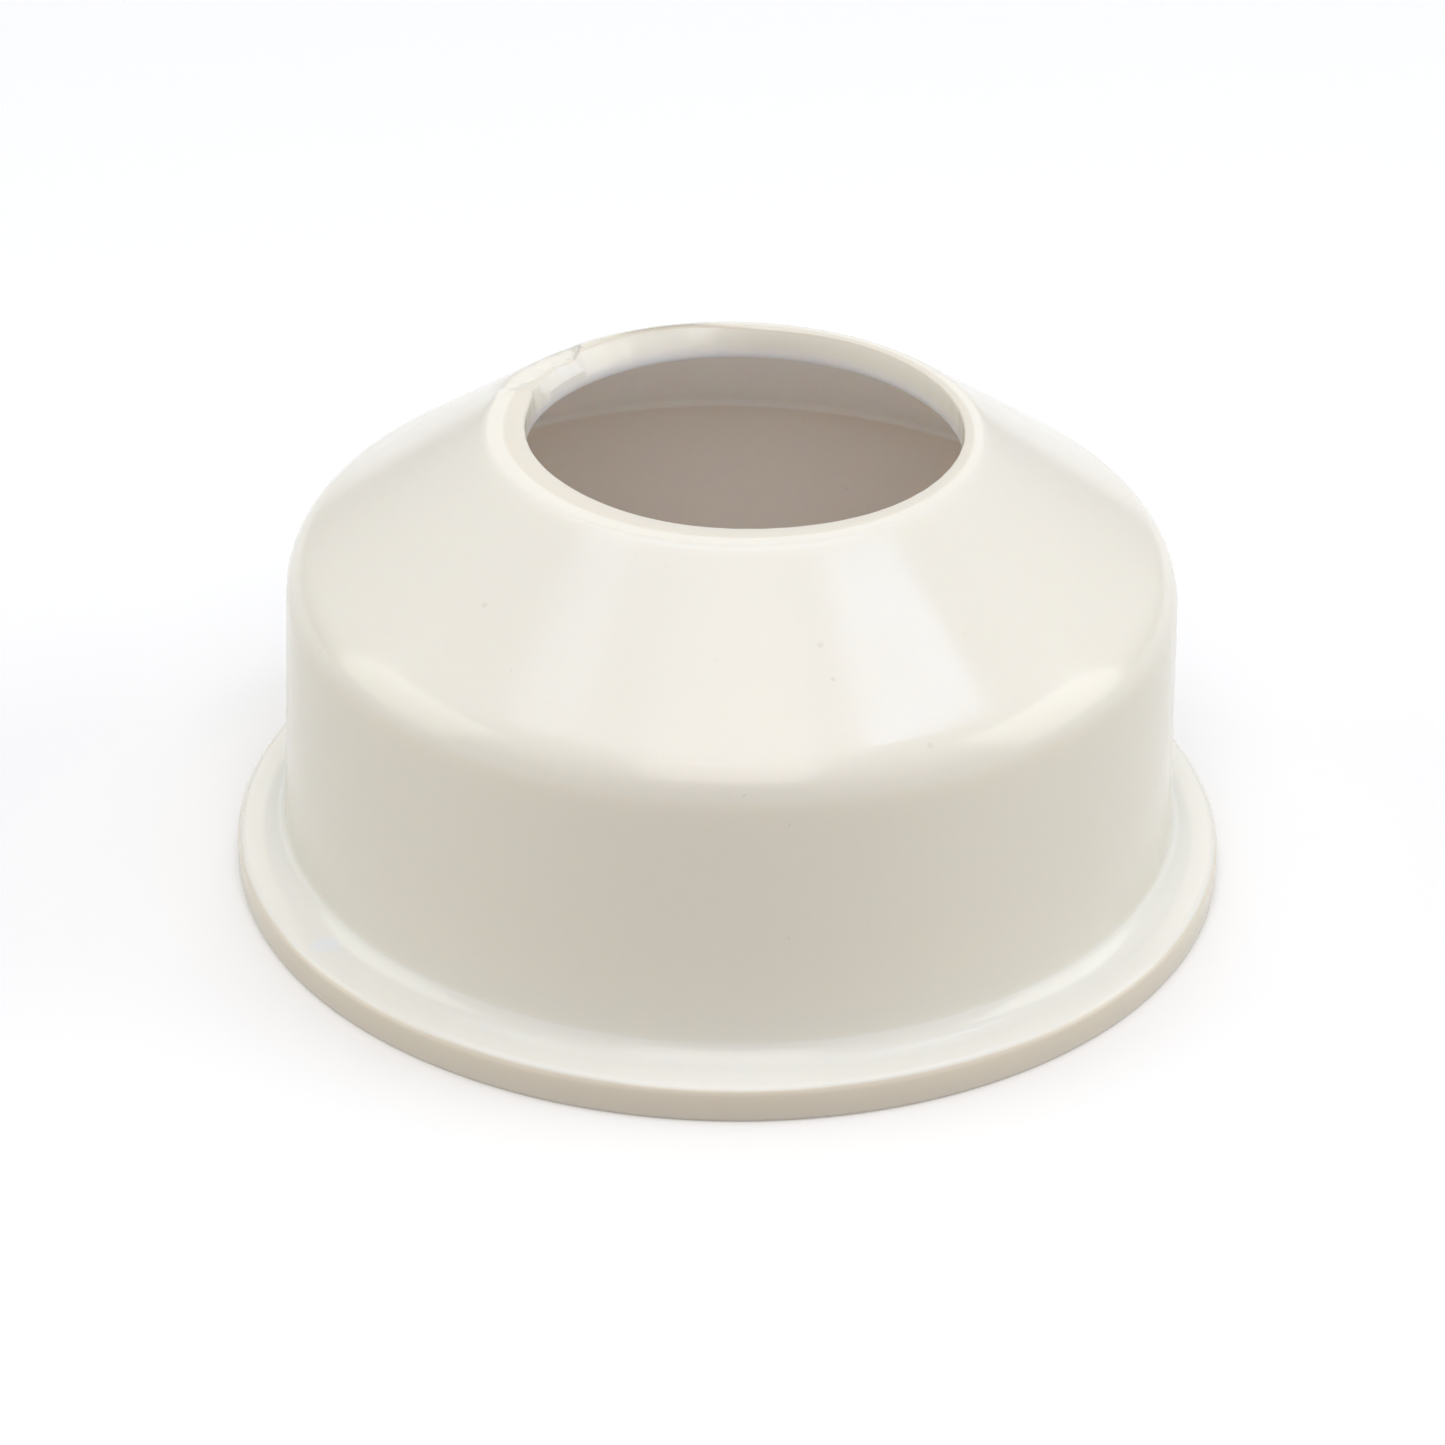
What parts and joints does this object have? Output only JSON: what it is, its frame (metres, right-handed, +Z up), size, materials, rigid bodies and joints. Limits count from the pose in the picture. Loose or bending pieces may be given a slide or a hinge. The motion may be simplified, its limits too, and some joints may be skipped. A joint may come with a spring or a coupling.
{
  "type": "cowl vent base",
  "caption": "Round off-white vent base: flat flange, short drafted skirt and a conical top with an open rim; deck gasket below, insect screen and snap ring inside.",
  "frame": {"origin": "centre of the flange's underside, on the vent's axis", "axes": "+Z up the vent's axis, out of the opening; the snap ring's split faces +Y"},
  "size_m": [0.1, 0.1, 0.0476],
  "materials": {
    "shell_plastic": "satin to semi-gloss moulded off-white plastic, warm where it is thin",
    "gasket_rubber": "matt closed-cell rubber",
    "screen_steel": "fine woven stainless wire",
    "ring_plastic": "satin moulded plastic"
  },
  "bodies": {
    "root": {"cowl_shell": "shell_plastic", "flange_gasket": "gasket_rubber", "insect_screen": "screen_steel", "screen_ring": "ring_plastic"}
  },
  "joints": []
}
